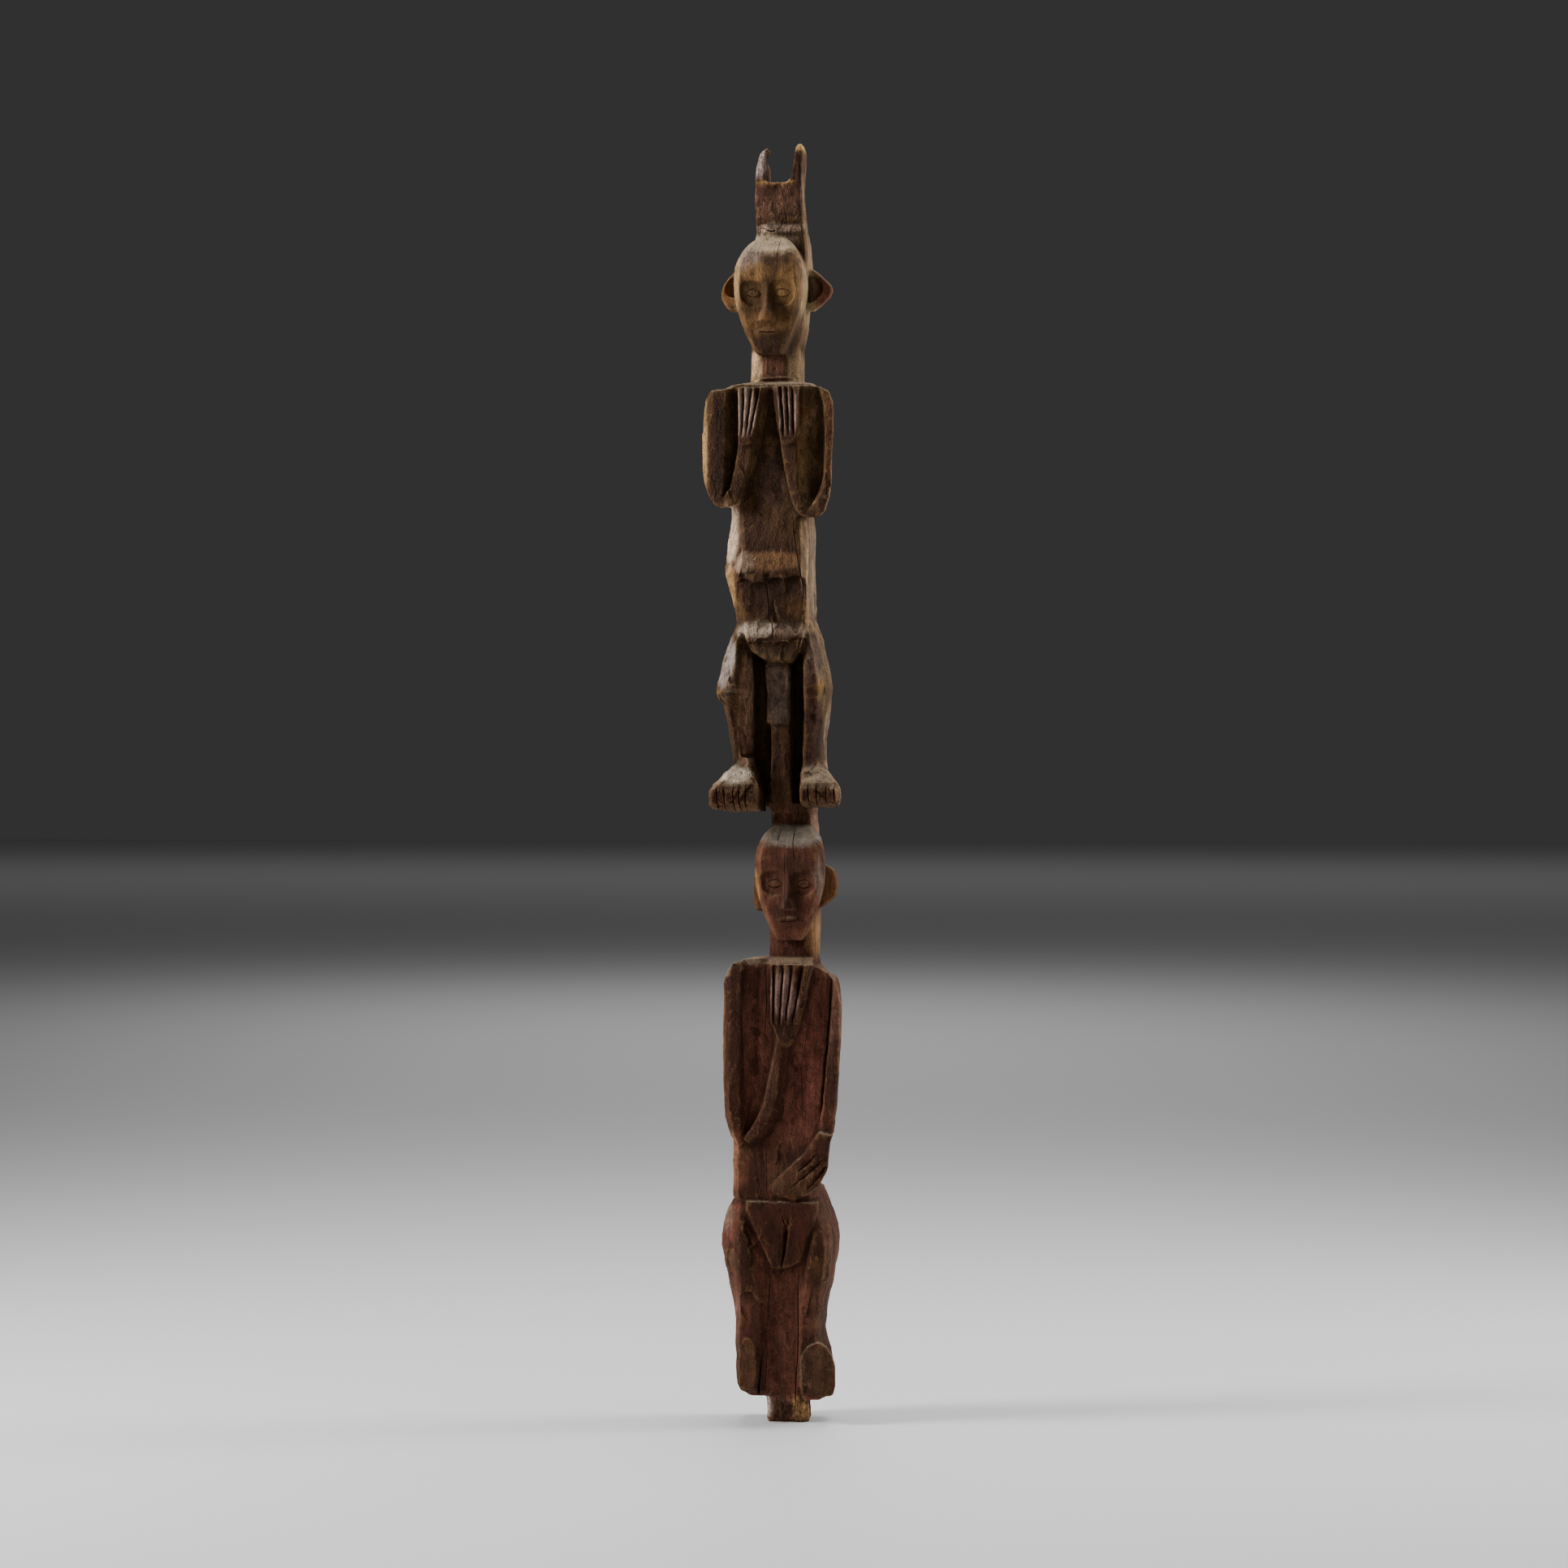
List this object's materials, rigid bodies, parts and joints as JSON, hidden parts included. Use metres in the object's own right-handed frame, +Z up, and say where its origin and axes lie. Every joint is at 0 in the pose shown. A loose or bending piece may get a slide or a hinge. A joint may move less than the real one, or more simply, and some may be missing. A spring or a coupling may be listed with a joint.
{
  "type": "carved wooden pilaster",
  "caption": "Carved hardwood post: two standing figures, one above the other, with folded arms, under a forked top and on a short square foot.",
  "frame": {"origin": "centre of the foot's flat underside, on the floor", "axes": "+Z up the post, -Y out of the figures' fronts, +X to the viewer's right"},
  "size_m": [0.2339, 0.168, 2.1],
  "materials": {
    "carved_hardwood": "hewn and worn old hardwood with a dry dark patina, rubbed ochre edges, dust on its ledges and long drying cracks"
  },
  "bodies": {
    "root": {"carved_post": "carved_hardwood"}
  },
  "joints": []
}
